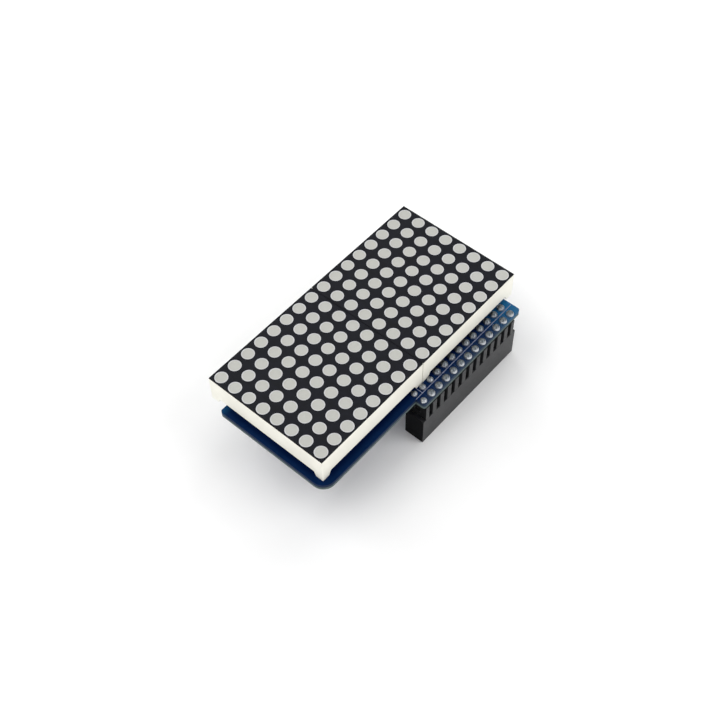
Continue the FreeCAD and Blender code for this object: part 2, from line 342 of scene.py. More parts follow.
# %% Material: cast diffusing epoxy
# Grey-white epoxy with a diffusing filler, poured into the cups. It is thin over the sloping
# white cup wall, so every dot is paler in a ring along its edge. The distance from the nearest
# dot centre comes from the 4 mm grid: whole pitches are dropped, and the rest is a radius.
RIM_INNER = 1.15 * MM
WHOLE_PITCHES = 100  # keeps every place on the positive side of the grid
cast_resin, tree, shader, place = start_material(
    "cast_diffusing_epoxy", IOR=1.52, Roughness=0.38, Coat_Weight=0.15, Coat_Roughness=0.25
)
origin = [WHOLE_PITCHES - module_centres["near"][axis] / DOT_PITCH for axis in (0, 1)]
in_pitches = add(
    tree,
    "ShaderNodeMapping",
    {"Vector": place, "Location": (*origin, 0), "Scale": (1 / DOT_PITCH, 1 / DOT_PITCH, 0)},
)
fraction = add(tree, "ShaderNodeVectorMath", {0: in_pitches}, operation="FRACTION")
from_centre = add(
    tree, "ShaderNodeVectorMath", {0: fraction, 1: (0.5, 0.5, 0.0)}, operation="SUBTRACT"
)
flat_offset = add(
    tree, "ShaderNodeVectorMath", {0: from_centre, 1: (1.0, 1.0, 0.0)}, operation="MULTIPLY"
)
radius = add(tree, "ShaderNodeVectorMath", {0: flat_offset}, operation="LENGTH")
rim = add(
    tree,
    "ShaderNodeMapRange",
    {"Value": radius, "From Min": RIM_INNER / DOT_PITCH, "From Max": DOT_RADIUS / DOT_PITCH},
    interpolation_type="SMOOTHSTEP",
)
cloud = add(tree, "ShaderNodeTexNoise", {"Vector": place, "Scale": grain(0.5 * MM), "Detail": 3.0})
cloud_shade = add(
    tree,
    "ShaderNodeMix",
    {0: cloud, 6: hex_colour("#AEAFA9"), 7: hex_colour("#B7B7B1")},
    data_type="RGBA",
)
dot_shade = add(
    tree, "ShaderNodeMix", {0: rim, 6: cloud_shade, 7: hex_colour("#CFCFD3")}, data_type="RGBA"
)
fill(tree, shader, {"Base Color": dot_shade})
emboss(tree, shader, place, 0.3 * MM, 0.003 * MM)

# %% Material: blue solder mask over laminate
# The board is glass-fibre laminate under a glossy blue lacquer. Laminate lets light through, and
# that light is painted into the lacquer: a painted glow makes it paler towards the free ends of the
# board, where nothing dark lies underneath.
# Towards the outer edge of the tab the lacquer is mixed a little towards the grey laminate shade,
# as painted light that makes that side paler.
FAR_GLOW = (7.5 * MM, 20.0 * MM)
LEFT_GLOW = (2.2 * MM, 0.0 * MM)
LEFT_GLOW_SHARE = 0.35
PAINTED_EDGE_LIGHT = (0.2 * MM, 2.2 * MM)
PAINTED_EDGE_LIGHT_SHARE = 0.15
LAMINATE_SHADE = "#6C7874"
board_finish, tree, shader, place = start_material(
    "blue_solder_mask_board", IOR=1.5, Specular_IOR_Level=0.2, Specular_Tint=(0.06, 0.42, 1.0, 1.0)
)
clouds = add(tree, "ShaderNodeTexNoise", {"Vector": place, "Scale": grain(5 * MM), "Detail": 3.0})
dark_mask = add(
    tree,
    "ShaderNodeMix",
    {0: clouds, 6: hex_colour("#021032"), 7: hex_colour("#051843")},
    data_type="RGBA",
)
level = add(tree, "ShaderNodeSeparateXYZ", {"Vector": place}).outputs
# Painted glow: the lacquer turns paler blue towards the free ends, standing in for light.
far_glow = add(
    tree,
    "ShaderNodeMapRange",
    {"Value": level["Y"], "From Min": FAR_GLOW[0], "From Max": FAR_GLOW[1]},
    interpolation_type="SMOOTHSTEP",
)
left_glow = add(
    tree,
    "ShaderNodeMapRange",
    {
        "Value": level["X"],
        "From Min": board_low.x + LEFT_GLOW[0],
        "From Max": board_low.x + LEFT_GLOW[1],
        "To Max": LEFT_GLOW_SHARE,
    },
    interpolation_type="SMOOTHSTEP",
)
glow = add(tree, "ShaderNodeMath", {0: far_glow, 1: left_glow}, operation="MAXIMUM")
painted_glow_mask = add(
    tree, "ShaderNodeMix", {0: glow, 6: dark_mask, 7: hex_colour("#1E5F8C")}, data_type="RGBA"
)
# Painted light: the lacquer turns a little paler and greyer towards the tab's outer edge.
painted_edge_light = add(
    tree,
    "ShaderNodeMapRange",
    {
        "Value": level["X"],
        "From Min": PAINTED_EDGE_LIGHT[0],
        "From Max": PAINTED_EDGE_LIGHT[1],
        "To Max": PAINTED_EDGE_LIGHT_SHARE,
    },
)
mask_shade = add(
    tree,
    "ShaderNodeMix",
    {0: painted_edge_light, 6: painted_glow_mask, 7: hex_colour(LAMINATE_SHADE)},
    data_type="RGBA",
)

# %% The same material: bare edges
# The lacquer covers the two flat faces and runs a little way down the milled edges. Below it the
# edges show bare grey-green laminate with its layers of glass cloth.
LAYER = 0.2 * MM
LAYER_STRETCH = 0.15
LACQUER_RUN = 0.65 * MM
LACQUER_FADE = 0.5 * MM
LACQUER_SHARE = 0.9
FACING = 0.7  # a face looks along an axis if its normal has at least this share of it
BARE_ROUGHNESS = 0.7
LACQUER_ROUGHNESS = 0.28
along_layers = add(
    tree, "ShaderNodeMapping", {"Vector": place, "Scale": (LAYER_STRETCH, LAYER_STRETCH, 1.0)}
)
layers = add(
    tree, "ShaderNodeTexNoise", {"Vector": along_layers, "Scale": grain(LAYER), "Detail": 2.0}
)
edge_shade = add(
    tree,
    "ShaderNodeMix",
    {0: layers, 6: hex_colour("#47524F"), 7: hex_colour(LAMINATE_SHADE)},
    data_type="RGBA",
)
normal = add(tree, "ShaderNodeNewGeometry").outputs["Normal"]
upright = add(tree, "ShaderNodeSeparateXYZ", {"Vector": normal}).outputs["Z"]
flatness = add(tree, "ShaderNodeMath", {0: upright}, operation="ABSOLUTE")
flat_face = add(tree, "ShaderNodeMath", {0: flatness, 1: FACING}, operation="GREATER_THAN")
lacquered_edge = add(
    tree,
    "ShaderNodeMapRange",
    {
        "Value": level["Z"],
        "From Min": board_high.z - LACQUER_RUN - LACQUER_FADE,
        "From Max": board_high.z - LACQUER_RUN,
        "To Max": LACQUER_SHARE,
    },
    interpolation_type="SMOOTHSTEP",
)
lacquered = add(tree, "ShaderNodeMath", {0: flat_face, 1: lacquered_edge}, operation="MAXIMUM")
board_shade = add(
    tree, "ShaderNodeMix", {0: lacquered, 6: edge_shade, 7: mask_shade}, data_type="RGBA"
)
board_roughness = add(
    tree,
    "ShaderNodeMapRange",
    {"Value": flat_face, "To Min": BARE_ROUGHNESS, "To Max": LACQUER_ROUGHNESS},
)
fill(tree, shader, {"Base Color": board_shade, "Roughness": board_roughness})
emboss(tree, shader, place, 0.5 * MM, 0.004 * MM)

# %% Material: solder mask over copper
# Where copper runs under the lacquer, the board looks a little brighter and stands up slightly.
covered_copper = plain_finish(
    "blue_solder_mask_over_copper",
    (3 * MM, "#1B5FA3", "#164F8C"),
    (1 * MM, 0.24, 0.34),
    IOR=1.52,
    Coat_Weight=0.3,
    Coat_Roughness=0.12,
)

# %% Material: black glass-filled nylon
# The socket strip. Glass filler makes the moulded sides silky and greyish.
black_nylon = plain_finish(
    "black_glass_filled_nylon",
    (2 * MM, "#212225", "#1A1B1E"),
    (0.8 * MM, 0.44, 0.52),
    (0.1 * MM, 0.004 * MM),
    IOR=1.53,
    Specular_IOR_Level=0.44,
)

# %% Material: cut glass-filled nylon with painted shade
# The strip is cut to length from a longer one. The saw leaves its two ends dull, and they are
# painted much darker as painted shade.
# Painted shade: the cut ends are coloured much darker than the moulded sides.
cut_shaded_nylon = plain_finish(
    "cut_glass_filled_nylon_with_painted_shade",
    (0.6 * MM, "#0D0E10", "#0B0C0E"),
    (0.4 * MM, 0.85, 0.95),
    (0.1 * MM, 0.004 * MM),
    IOR=1.53,
    Specular_IOR_Level=0.1,
)

# %% Material: solder
# Tin solder that has flowed and set: bright metal, smooth, with a faintly frosted skin. The top of
# each dome on the tab is painted dark grey and its skirt stays bright, as a painted reflection of
# the dark sky above and the bright horizon.
SKIRT = (0.42 * MM, 0.8 * MM)
solder, tree, shader, place = start_material("flowed_tin_solder", Metallic=1.0)
bright_skin = mottle(tree, shader, place, 0.8 * MM, "#C9CCD0", "#B4B8BD")
dome_height = add(tree, "ShaderNodeSeparateXYZ", {"Vector": place})
# Painted reflection: the solder darkens to grey towards the top of each dome on the tab.
painted_dark_top = add(
    tree,
    "ShaderNodeMapRange",
    {
        "Value": dome_height.outputs["Z"],
        "From Min": board_high.z + SKIRT[0],
        "From Max": board_high.z + SKIRT[1],
    },
    interpolation_type="SMOOTHSTEP",
)
solder_shade = add(
    tree,
    "ShaderNodeMix",
    {0: painted_dark_top, 6: bright_skin, 7: hex_colour("#666C71")},
    data_type="RGBA",
)
fill(tree, shader, {"Base Color": solder_shade})
roughen(tree, shader, place, 0.5 * MM, 0.28, 0.36)
emboss(tree, shader, place, 0.25 * MM, 0.003 * MM)

# %% Material: tinned copper and brass pins
# Pins and leads are plated with matt tin, which is duller than solder.
tin_plate = plain_finish(
    "matt_tin_plate", (0.6 * MM, "#BFC0C2", "#A9AAAE"), (0.3 * MM, 0.36, 0.5), Metallic=1.0
)

# %% Material: gold flash on the socket contacts
gold_flash = plain_finish(
    "gold_flashed_contact", (0.6 * MM, "#E3C06A", "#CFA850"), (0.3 * MM, 0.24, 0.34), Metallic=1.0
)

# %% Material: legend ink
# Printed white, but thin enough to let the dark board through, so it looks lavender grey.
legend_ink = plain_finish(
    "white_legend_ink", (0.4 * MM, "#8C90A5", "#7E8298"), (0.5 * MM, 0.5, 0.65), IOR=1.5
)

# %% Material: black moulding compound
# The chip is moulded in silica-filled epoxy, dull and slightly speckled.
chip_compound = plain_finish(
    "black_epoxy_moulding_compound",
    (0.3 * MM, "#2B2B2D", "#202022"),
    (0.5 * MM, 0.55, 0.7),
    (0.08 * MM, 0.005 * MM),
    IOR=1.55,
)

# %% Materials: small components
# Capacitors are sintered ceramic, tan and dull. Resistors have a glossy black glaze.
ceramic = plain_finish(
    "tan_sintered_ceramic", (0.4 * MM, "#A88963", "#94764F"), (0.3 * MM, 0.4, 0.55), IOR=1.6
)
resistor_glaze = plain_finish(
    "black_resistor_glaze", (0.5 * MM, "#1C1C1E", "#121214"), (0.3 * MM, 0.2, 0.32), IOR=1.5
)

# %% Materials: inside the modules
# The LED boards are laminate without lacquer. The dies are yellow-green crystals with a high IOR.
bare_laminate = plain_finish(
    "bare_glass_fibre_laminate",
    (1.0 * MM, "#C9CDB4", "#B4BA9C"),
    (0.5 * MM, 0.45, 0.6),
    (0.5 * MM, 0.01 * MM),
    IOR=1.5,
)
led_die = plain_finish(
    "gallium_phosphide_die", (0.1 * MM, "#B7A04A", "#8F7A33"), (0.1 * MM, 0.2, 0.3), IOR=2.4
)

# %% Material: floor paper
# Thin white paper on a light table. Close to the object only the panels light it, so that the
# soft shadow stays. Further out the table shines through and the paper washes out. The paper only
# shows from above, so a camera below it looks straight at the underside of the display.
GLOW_START = 160 * MM
GLOW_FULL = 450 * MM
TABLE_STRENGTH = 0.8
floor_paper, tree, shader, place = start_material(
    "white_backdrop_paper", IOR=1.45, Roughness=0.9, Emission_Color=(1.0, 1.0, 1.0, 1.0)
)
mottle(tree, shader, place, 40 * MM, "#FAFAFA", "#F6F6F6")
distance = add(tree, "ShaderNodeVectorMath", {0: place}, operation="LENGTH")
table_light = add(
    tree,
    "ShaderNodeMapRange",
    {"Value": distance, "From Min": GLOW_START, "From Max": GLOW_FULL, "To Max": TABLE_STRENGTH},
    interpolation_type="SMOOTHSTEP",
)
fill(tree, shader, {"Emission Strength": table_light})
from_below = add(tree, "ShaderNodeNewGeometry").outputs["Backfacing"]
clear = add(tree, "ShaderNodeBsdfTransparent")
one_sided = add(tree, "ShaderNodeMixShader", {0: from_below, 1: shader, 2: clear})
add(tree, "ShaderNodeOutputMaterial", {"Surface": one_sided}).is_active_output = True

print("materials:", len(bpy.data.materials))

# %% [markdown]
# ## Finishes on the CAD nodes
#
# A CAD node whose shape is right stays as it is. Only the material in its slot is exchanged.

# %% Give the CAD nodes their finishes
NODE_FINISHES = {
    "module_pins": tin_plate,
    "module_led_board": bare_laminate,
    "module_led_dies": led_die,
    "carrier_board": board_finish,
    "header_contacts": gold_flash,
    "driver_chip_leads": tin_plate,
}
for node_name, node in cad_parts.items():
    for ending, material in NODE_FINISHES.items():
        if node_name.endswith(ending):
            node.data.materials.clear()
            node.data.materials.append(material)
            print(node_name, "is now", material.name)

# %% [markdown]
# ## Helpers for shapes
#
# Small mesh helpers build the added pieces. A prism is a flat outline pulled up between two
# levels. A turned piece is a profile spun round the Z axis, and its two ends lie on the axis, so
# the poles are closed. A finished piece has its faces pointing outwards, rides on the board and
# replaces the CAD node that it stands for.

# %% Flat shapes


def rectangle(x_low, x_high, y_low, y_high):
    """The four corners, counter-clockwise seen from above."""
    return [(x_low, y_low), (x_high, y_low), (x_high, y_high), (x_low, y_high)]


def ring(mesh, outline, level):
    """Adds the (x, y) points of an outline at one level."""
    return [mesh.verts.new((*point, level)) for point in outline]


def bands(mesh, rings):
    """Adds a band of faces between each ring and the next."""
    for first, second in zip(rings, rings[1:]):
        for k in range(len(first)):
            mesh.faces.new((first[k - 1], first[k], second[k], second[k - 1]))


def prism(mesh, outline, bottom, top):
    """Adds a closed prism over an outline."""
    lower, upper = ring(mesh, outline, bottom), ring(mesh, outline, top)
    mesh.faces.new(lower[::-1])
    mesh.faces.new(upper)
    bands(mesh, (lower, upper))


# %% From a bmesh to an object, and turned shapes
SHARP = math.radians(35)


def finish_mesh(name, mesh, material):
    """Turns a bmesh into an object with outward faces, soft shading and one material.

    A copy of a CAD node brings stored shading normals along. They no longer fit after an edge is
    rounded, so they are dropped.
    """
    bmesh.ops.recalc_face_normals(mesh, faces=mesh.faces)
    data = bpy.data.meshes.new(name)
    mesh.to_mesh(data)
    mesh.free()
    stored = data.attributes.get("custom_normal")
    if stored:
        data.attributes.remove(stored)
    data.shade_smooth()
    data.set_sharp_from_angle(angle=SHARP)
    data.materials.append(material)
    return into_scene(name, data)


def turned(name, profile, sides, material, wide=1.0, tall=1.0):
    """Turns (radius, height) points round Z. The first and the last point lie on the axis."""
    mesh = bmesh.new()
    points = [(radius * wide, height * tall) for radius, height in profile]
    step = 2 * math.pi / sides
    rings = []
    for radius, height in points[1:-1]:
        circle = [
            (radius * math.cos(k * step), radius * math.sin(k * step)) for k in range(sides)
        ]
        rings.append(ring(mesh, circle, height))
    for upper, lower in zip(rings, rings[1:]):
        for k in range(sides):
            mesh.faces.new((upper[k - 1], lower[k - 1], lower[k], upper[k]))
    for end in (0, -1):
        pole = mesh.verts.new((0, 0, points[end][1]))
        for k in range(sides):
            mesh.faces.new((rings[end][k - 1], rings[end][k], pole))
    return finish_mesh(name, mesh, material)


# %% Finished pieces


def settle(piece):
    """Turns what the modifiers make into a plain mesh, and takes the modifiers away."""
    evaluated = piece.evaluated_get(bpy.context.evaluated_depsgraph_get())
    piece.data = bpy.data.meshes.new_from_object(evaluated)
    piece.modifiers.clear()
    return piece


def flatten_sides(piece):
    """Lets the large flat sides keep their own direction, so only the small roundings look soft."""
    leaning = piece.modifiers.new("flat_sides", "WEIGHTED_NORMAL")
    leaning.weight = 100
    leaning.keep_sharp = True
    return settle(piece)


def keep(piece, *replaced):
    """The finished piece rides on the board and stands for the nodes named here."""
    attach(piece, BODY)
    if replaced:
        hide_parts(*replaced)
    print(piece.name, "has", len(piece.data.polygons), "faces")
    return piece


# %% [markdown]
# ## Geometry Nodes helpers
#
# What repeats is made by Geometry Nodes. One tree puts a copy of a small piece on each point of a
# cloud of places and turns and stretches each copy a little, with a fixed seed. The result
# becomes a plain mesh, and the modifier is taken away.

# %% A small kit for node trees


def start_tree(name, inputs):
    """A geometry tree with named inputs. Inputs are (name, socket type, default or None)."""
    tree = bpy.data.node_groups.new(name, "GeometryNodeTree")
    tree.interface.new_socket("Geometry", in_out="INPUT", socket_type="NodeSocketGeometry")
    tree.interface.new_socket("Geometry", in_out="OUTPUT", socket_type="NodeSocketGeometry")
    for socket_name, kind, default in inputs:
        socket = tree.interface.new_socket(socket_name, in_out="INPUT", socket_type=kind)
        if default is not None:
            socket.default_value = default
    return tree, tree.nodes.new("NodeGroupInput").outputs


def end_tree(tree, geometry, material):
    """Ends the tree in Realize Instances and Set Material."""
    real = add(tree, "GeometryNodeRealizeInstances", {"Geometry": geometry})
    painted = add(tree, "GeometryNodeSetMaterial", {"Geometry": real, "Material": material})
    add(tree, "NodeGroupOutput", {"Geometry": painted})


def run_tree(name, tree, values, points=()):
    """Runs the tree on a cloud of points and keeps the result as a plain mesh."""
    start = bpy.data.meshes.new(name + "_points")
    start.from_pydata([point for point, size in points], [], [])
    if points:
        sizes = start.attributes.new("size", "FLOAT", "POINT")
        sizes.data.foreach_set("value", [size for point, size in points])
    piece = into_scene(name, start)
    modifier = piece.modifiers.new("grow", "NODES")
    modifier.node_group = tree
    for item in tree.interface.items_tree:
        if item.in_out == "INPUT" and item.name in values:
            modifier[item.identifier] = values[item.name]
    settle(piece).data.name = name
    piece.data.set_sharp_from_angle(angle=SHARP)
    return piece


# %% A tree that puts a piece on every point
scatter_tree, given = start_tree(
    "piece_on_each_point",
    [
        ("Piece", "NodeSocketObject", None),
        ("Least stretch", "NodeSocketVector", (1.0, 1.0, 1.0)),
        ("Most stretch", "NodeSocketVector", (1.0, 1.0, 1.0)),
        ("Turn", "NodeSocketFloat", 0.0),
        ("Seed", "NodeSocketInt", 1),
        ("Material", "NodeSocketMaterial", None),
    ],
)
piece_shape = add(scatter_tree, "GeometryNodeObjectInfo", {"Object": given["Piece"]})
stretch = add(
    scatter_tree,
    "FunctionNodeRandomValue",
    {0: given["Least stretch"], 1: given["Most stretch"], "Seed": given["Seed"]},
    data_type="FLOAT_VECTOR",
)
turn = add(
    scatter_tree,
    "FunctionNodeRandomValue",
    {2: 0.0, 3: given["Turn"], "Seed": given["Seed"]},
    data_type="FLOAT",
)
point_size = add(
    scatter_tree, "GeometryNodeInputNamedAttribute", {"Name": "size"}, data_type="FLOAT"
)
copy_scale = add(
    scatter_tree,
    "ShaderNodeVectorMath",
    {0: stretch, "Scale": point_size.outputs["Attribute"]},
    operation="SCALE",
)
copy_turn = add(scatter_tree, "ShaderNodeCombineXYZ", {"Z": turn})
copies = add(
    scatter_tree,
    "GeometryNodeInstanceOnPoints",
    {
        "Points": given["Geometry"],
        "Instance": piece_shape.outputs["Geometry"],
        "Rotation": copy_turn,
        "Scale": copy_scale,
    },
)
end_tree(scatter_tree, copies, given["Material"])


def scatter(name, piece, points, material, stretch=0.0, turn=0.0, seed=1):
    """Copies of piece on all points, each varied a little. The pattern piece is removed."""
    values = {
        "Piece": piece,
        "Least stretch": [1 - stretch] * 3,
        "Most stretch": [1 + stretch] * 3,
        "Turn": turn,
        "Seed": seed,
        "Material": material,
    }
    result = run_tree(name, scatter_tree, values, points)
    bpy.data.objects.remove(piece)
    return result


# %% [markdown]
# ## The printed face
#
# The white housing is printed black all over its front, except for 64 round windows. A flat
# square with circles cut out of it could be modelled by hand, but it follows a rule, so a tree
# makes it: a square curve and a grid of circle curves are filled as one shape with holes, and
# the sheet gets the thickness of a coat of ink.

# %% A tree for the printed face
INK_THICKNESS = 0.03 * MM
WINDOW_RADIUS = 1.47 * MM
WINDOW_SIDES = 48
SAME_POINT = 1e-6

face_tree, given = start_tree(
    "printed_face",
    [
        ("Side", "NodeSocketFloat", module_side),
        ("Pitch", "NodeSocketFloat", DOT_PITCH),
        ("Dots per side", "NodeSocketInt", DOTS_PER_SIDE),
        ("Window radius", "NodeSocketFloat", WINDOW_RADIUS),
        ("Thickness", "NodeSocketFloat", INK_THICKNESS),
        ("Middle", "NodeSocketVector", (0.0, 0.0, 0.0)),
        ("Material", "NodeSocketMaterial", None),
    ],
)
square = add(
    face_tree,
    "GeometryNodeCurvePrimitiveQuadrilateral",
    {"Width": given["Side"], "Height": given["Side"]},
)
steps = add(face_tree, "ShaderNodeMath", {0: given["Dots per side"], 1: 1.0}, operation="SUBTRACT")
span = add(face_tree, "ShaderNodeMath", {0: steps, 1: given["Pitch"]}, operation="MULTIPLY")
window_places = add(
    face_tree,
    "GeometryNodeMeshGrid",
    {
        "Size X": span,
        "Size Y": span,
        "Vertices X": given["Dots per side"],
        "Vertices Y": given["Dots per side"],
    },
)
window = add(
    face_tree,
    "GeometryNodeCurvePrimitiveCircle",
    {"Resolution": WINDOW_SIDES, "Radius": given["Window radius"]},
)
windows = add(
    face_tree, "GeometryNodeInstanceOnPoints", {"Points": window_places, "Instance": window}
)
window_curves = add(face_tree, "GeometryNodeRealizeInstances", {"Geometry": windows})
outline = add(face_tree, "GeometryNodeJoinGeometry", {0: square})
fill(face_tree, outline, {0: window_curves})
sheet = add(face_tree, "GeometryNodeFillCurve", {"Curve": outline})
raised = add(
    face_tree,
    "GeometryNodeExtrudeMesh",
    {"Mesh": sheet, "Offset Scale": given["Thickness"], "Individual": False},
)
underside = add(face_tree, "GeometryNodeFlipFaces", {"Mesh": sheet})
both = add(face_tree, "GeometryNodeJoinGeometry", {0: raised})
fill(face_tree, both, {0: underside})
closed = add(face_tree, "GeometryNodeMergeByDistance", {"Geometry": both, "Distance": SAME_POINT})
moved = add(
    face_tree, "GeometryNodeTransform", {"Geometry": closed, "Translation": given["Middle"]}
)
end_tree(face_tree, moved, given["Material"])

# %% Print both faces
for name, middle in module_centres.items():
    face_values = {"Middle": (middle.x, middle.y, face_level), "Material": black_ink}
    keep(run_tree(name + "_module_printed_face", face_tree, face_values))

# %% Painted shade in the seam between the modules
SEAM_DEPTH = 0.8 * MM
SEAM_END = 0.25 * MM
# Painted shade: black sheets line both walls of the seam, standing in for shade in the gap.
seam = bmesh.new()
near_edge = near_high.y
far_edge = housing_boxes["far"][0].y
for low_y, high_y in ((near_edge, near_edge + INK_THICKNESS), (far_edge - INK_THICKNESS, far_edge)):
    prism(
        seam,
        rectangle(near_low.x + SEAM_END, module_right - SEAM_END, low_y, high_y),
        face_level - SEAM_DEPTH,
        face_level + INK_THICKNESS,
    )
keep(finish_mesh("seam_ink", seam, black_ink))

# %% [markdown]
# ## The cast dots
#
# Each window is the mouth of a white reflector cup that is filled with resin. Resin shrinks as
# it sets, so the surface is dished. The print reaches a little over its edge. One dot is turned
# from a profile, and the tree above puts it into all 64 cups of a module.

# %% Dots of both modules
DOT_SIDES = 40
CUP_DEPTH = 4.2 * MM
CUP_FOOT = 0.3 * MM
DISH = 0.04 * MM
dot_places = centred(DOTS_PER_SIDE, DOT_PITCH)
dot_profile = [
    (0, -DISH),
    (0.7 * DOT_RADIUS, -0.8 * DISH),
    (0.93 * DOT_RADIUS, -0.25 * DISH),
    (DOT_RADIUS, 0.0),
    (CUP_FOOT, -CUP_DEPTH),
    (0, -CUP_DEPTH),
]
for name, middle in module_centres.items():
    pattern = turned("dot", dot_profile, DOT_SIDES, cast_resin)
    places = [
        ((middle.x + x, middle.y + y, face_level), 1.0) for x in dot_places for y in dot_places
    ]
    dots = scatter(name + "_module_dots", pattern, places, cast_resin)
    keep(dots, name + "_module_resin_dots")

# %% [markdown]
# ## Softened edges
#
# Nothing that comes out of a mould has a razor edge, and a thin bright line along each edge is
# what makes a render look real. A copy of the CAD mesh is welded, its flat areas are joined, and
# the edges that show get a small rounding. The copy then stands for the node.

# %% Rounding helpers
FLAT = math.radians(1)
EDGE_ANGLE = math.radians(25)
WELD = 1e-7
ON_SIDE = 0.01 * MM


def round_edges(mesh, width, chosen=lambda edge: True):
    """Rounds the corners of a mesh that the test picks, and leaves its flat joins alone."""
    corners = [
        edge
        for edge in mesh.edges
        if len(edge.link_faces) == 2 and edge.calc_face_angle() > EDGE_ANGLE and chosen(edge)
    ]
    bmesh.ops.bevel(mesh, geom=corners, offset=width, segments=2, profile=0.5, affect="EDGES")


def on_sides_of(node_name):
    """A test for edges that lie on one of the four outer sides of a node's box."""
    low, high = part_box(node_name)

    def chosen(edge):
        middle = (edge.verts[0].co + edge.verts[1].co) / 2
        gaps = (middle.x - low.x, high.x - middle.x, middle.y - low.y, high.y - middle.y)
        return min(gaps) < ON_SIDE

    return chosen


def softened(name, node_name, material, width, *chosen):
    """A copy of a CAD node whose edges are rounded: all, or those that a test picks."""
    mesh = bmesh.new()
    mesh.from_mesh(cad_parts[node_name].data)
    bmesh.ops.remove_doubles(mesh, verts=mesh.verts, dist=WELD)
    bmesh.ops.dissolve_limit(
        mesh, angle_limit=FLAT, verts=mesh.verts, edges=mesh.edges, use_dissolve_boundaries=False
    )
    round_edges(mesh, width, *chosen)
    return keep(flatten_sides(finish_mesh(name, mesh, material)), node_name)


# %% Soften the housings, the spacer and the small components
HOUSING_ROUNDING = 0.05 * MM
SPACER_ROUNDING = 0.08 * MM
SMALL_ROUNDING = 0.06 * MM
END_DEPTH = 1.0 * MM


def dull_and_shade_cut_ends(piece):
    """The faces at both ends that look along Y were cut by the saw and get the second finish: dull,
    and much darker as painted shade.
    """
    piece.data.materials.append(cut_shaded_nylon)
    for face in piece.data.polygons:
        at_end = abs(face.center.y) > header_high.y - END_DEPTH
        face.material_index = int(at_end and abs(face.normal.y) > FACING)


for name in MODULES:
    housing = name + "_module_housing"
    moulding = name + "_module_moulding"
    softened(moulding, housing, white_plastic, HOUSING_ROUNDING, on_sides_of(housing))
spacer_sides = on_sides_of("header_spacer")
spacer = softened("socket_spacer", "header_spacer", black_nylon, SPACER_ROUNDING, spacer_sides)
dull_and_shade_cut_ends(spacer)
for node_name, material in (
    ("capacitor_bodies", ceramic),
    ("capacitor_end_caps", solder),
    ("resistor_body", resistor_glaze),
    ("resistor_end_caps", solder),
):
    softened(node_name + "_rounded", node_name, material, SMALL_ROUNDING)

# %% [markdown]
# ## The socket strip
#
# The strip has 26 square sockets. Each mouth is a funnel that guides a pin in, and that is the
# one thing the plain CAD block lacks. The strip is built cell by cell: every cell brings its
# square ring at the bottom, its funnel, its hole and its ring at the top. Cells share their
# border points, so after welding the strip is one closed skin.

# %% Socket strip with funnels
SOCKET_SIDE = 0.9 * MM
FUNNEL_SIDE = 1.5 * MM
FUNNEL_DEPTH = 0.45 * MM
STRIP_ROUNDING = 0.1 * MM
CELL_WELD = 1e-6
strip = bmesh.new()
strip_half = (header_high.x - header_low.x) / 2
socket_rows = centred(SOCKETS_PER_ROW, SOCKET_PITCH)
for side in (-1, 1):
    for y in socket_rows:
        x = side * SOCKET_PITCH / 2
        inner, outer = sorted((0, side * strip_half))
        cell = rectangle(inner, outer, y - SOCKET_PITCH / 2, y + SOCKET_PITCH / 2)
        rings = [ring(strip, cell, header_low.z)]
        for width, level in (
            (FUNNEL_SIDE, header_low.z),
            (SOCKET_SIDE, header_low.z + FUNNEL_DEPTH),
            (SOCKET_SIDE, header_high.z),
        ):
            half = width / 2
            square = rectangle(x - half, x + half, y - half, y + half)
            rings.append(ring(strip, square, level))
        rings.append(ring(strip, cell, header_high.z))
        bands(strip, rings)
bmesh.ops.remove_doubles(strip, verts=strip.verts, dist=CELL_WELD)
rim_edges = [edge for edge in strip.edges if edge.is_boundary]
lower_rim = [edge for edge in rim_edges if edge.verts[0].co.z < header_low.z + WELD]
upper_rim = [edge for edge in rim_edges if edge.verts[0].co.z > header_high.z - WELD]
bmesh.ops.bridge_loops(strip, edges=lower_rim + upper_rim)
bmesh.ops.recalc_face_normals(strip, faces=strip.faces)
round_edges(strip, STRIP_ROUNDING, on_sides_of("header_body"))
socket_strip = keep(flatten_sides(finish_mesh("socket_strip", strip, black_nylon)), "header_body")
dull_and_shade_cut_ends(socket_strip)

# %% [markdown]
# ## Solder on top
#
# Molten solder pulls itself into a dome over each contact, nearly half a ball. One dome is
# turned, then 26 are set down with small changes of size and height. Those beside a housing foot
# are smaller and keep clear of it, and so are the two at the tab's near end.

# %% Solder domes on the tab
DOME_RADIUS = 0.93 * MM
DOME_HEIGHT = 0.92 * MM
DOME_SIDES = 28
FOOT_LENGTH = 2.5 * MM
FOOT_GAP = 0.03 * MM
LEANING_RADIUS = 0.78 * MM
END_CLEARANCE = 0.5 * MM
dome_profile = [
    (0, 1.0), (0.2, 0.98), (0.38, 0.925), (0.55, 0.835), (0.69, 0.72), (0.81, 0.57),
    (0.9, 0.4), (0.96, 0.2), (1.0, 0.0), (0, 0.0),
]
dome = turned("dome", dome_profile, DOME_SIDES, solder, DOME_RADIUS, DOME_HEIGHT)
foot_ends = [corner.y for box in housing_boxes.values() for corner in box]
near_end = header_low.y + END_CLEARANCE
places = []
for x in centred(2, SOCKET_PITCH):
    for y in socket_rows:
        radius = min(DOME_RADIUS, y - near_end)
        beside_foot = x < 0 and min(abs(y - end) for end in foot_ends) < FOOT_LENGTH
        if beside_foot:
            radius = LEANING_RADIUS
        dome_x = max(x, module_right + FOOT_GAP + radius) if beside_foot else x
        places.append(((dome_x, y, board_high.z), radius / DOME_RADIUS))
domes = scatter("tab_solder_domes", dome, places, solder, stretch=0.03, turn=math.pi, seed=7)
keep(domes, "header_solder_joints")

# %% [markdown]
# ## Solder under the board
#
# The 32 module pins come out on the underside. Solder climbs each pin in a hollow cone, so this
# profile bends inwards. Heights are negative because the cone hangs down.

